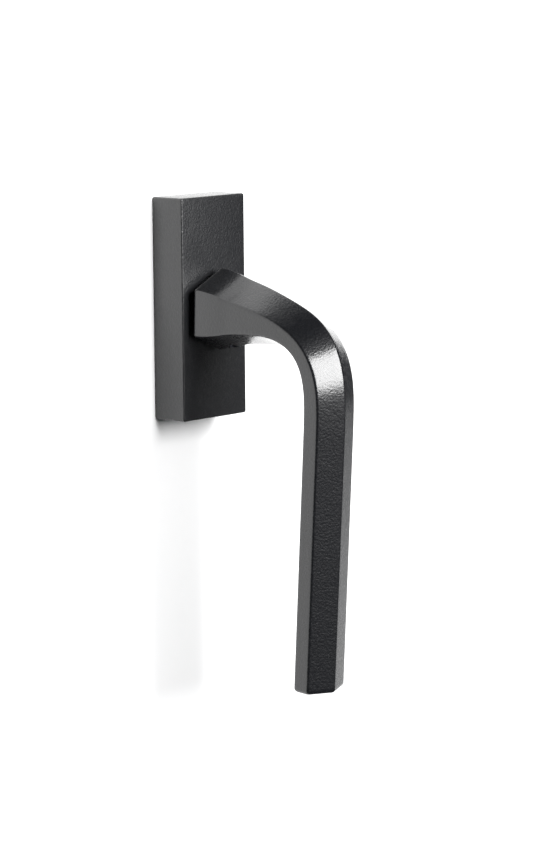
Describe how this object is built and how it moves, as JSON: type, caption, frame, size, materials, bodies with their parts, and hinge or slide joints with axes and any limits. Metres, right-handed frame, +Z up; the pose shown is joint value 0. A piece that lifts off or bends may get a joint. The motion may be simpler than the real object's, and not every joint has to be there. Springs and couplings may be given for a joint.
{
  "type": "window handle",
  "caption": "Tilt-and-turn window handle: a hexagonal bar lever on a plain rectangular rosette, with a square spindle and a ball detent behind the cover.",
  "frame": {"origin": "on the spindle's axis, in the rosette's back face, which lies on the sash", "axes": "+Y into the sash along the spindle, -Y into the room, +X right as seen from the room, +Z up; the lever points down"},
  "size_m": [0.0286, 0.105, 0.1516],
  "materials": {
    "lever_coating": "semi-matt black powder coat on a die-cast lever",
    "cover_coating": "semi-matt black powder coat on the cover",
    "zinc_casting": null,
    "plated_steel": "bright zinc plating",
    "spindle_steel": "cold-drawn square steel, lightly plated",
    "bearing_steel": "polished hardened steel",
    "spring_steel": "oiled spring steel",
    "black_nylon": "moulded black nylon",
    "white_acetal": "moulded natural acetal",
    "black_screw_steel": "black oxide on a hardened grub screw"
  },
  "bodies": {
    "rosette": {"base_plate": "zinc_casting", "wave_washer": "spring_steel", "thrust_washer": "white_acetal", "hub_retaining_plate": "plated_steel", "retainer_screw_1": "plated_steel", "retainer_screw_2": "plated_steel", "retainer_screw_3": "plated_steel", "retainer_screw_4": "plated_steel", "detent_spring_upper": "spring_steel", "detent_spring_lower": "spring_steel", "rosette_cover": "cover_coating", "cover_bush": "black_nylon", "fixing_screw_upper": "plated_steel", "fixing_screw_lower": "plated_steel"},
    "handle": {"lever": "lever_coating", "lever_set_screw": "black_screw_steel", "spindle": "spindle_steel", "spindle_pin": "bearing_steel", "detent_hub": "zinc_casting"},
    "upper_ball": {"detent_ball_upper": "bearing_steel"},
    "lower_ball": {"detent_ball_lower": "bearing_steel"}
  },
  "joints": [
    {"name": "lever_turn", "type": "hinge", "parent": "rosette", "child": "handle", "pos_m": [0, 0, 0], "axis": [0, 1, 0], "range_deg": [-180, 180]},
    {"name": "upper_ball_click", "type": "slide", "parent": "rosette", "child": "upper_ball", "axis": [0, 0, -1], "range_m": [0, 0.0008], "stiffness_N_per_m": 1500, "springref_m": 0.0008, "deforming": ["detent_spring_upper"]},
    {"name": "lower_ball_click", "type": "slide", "parent": "rosette", "child": "lower_ball", "axis": [0, 0, 1], "range_m": [0, 0.0008], "stiffness_N_per_m": 1500, "springref_m": 0.0008, "deforming": ["detent_spring_lower"]}
  ]
}
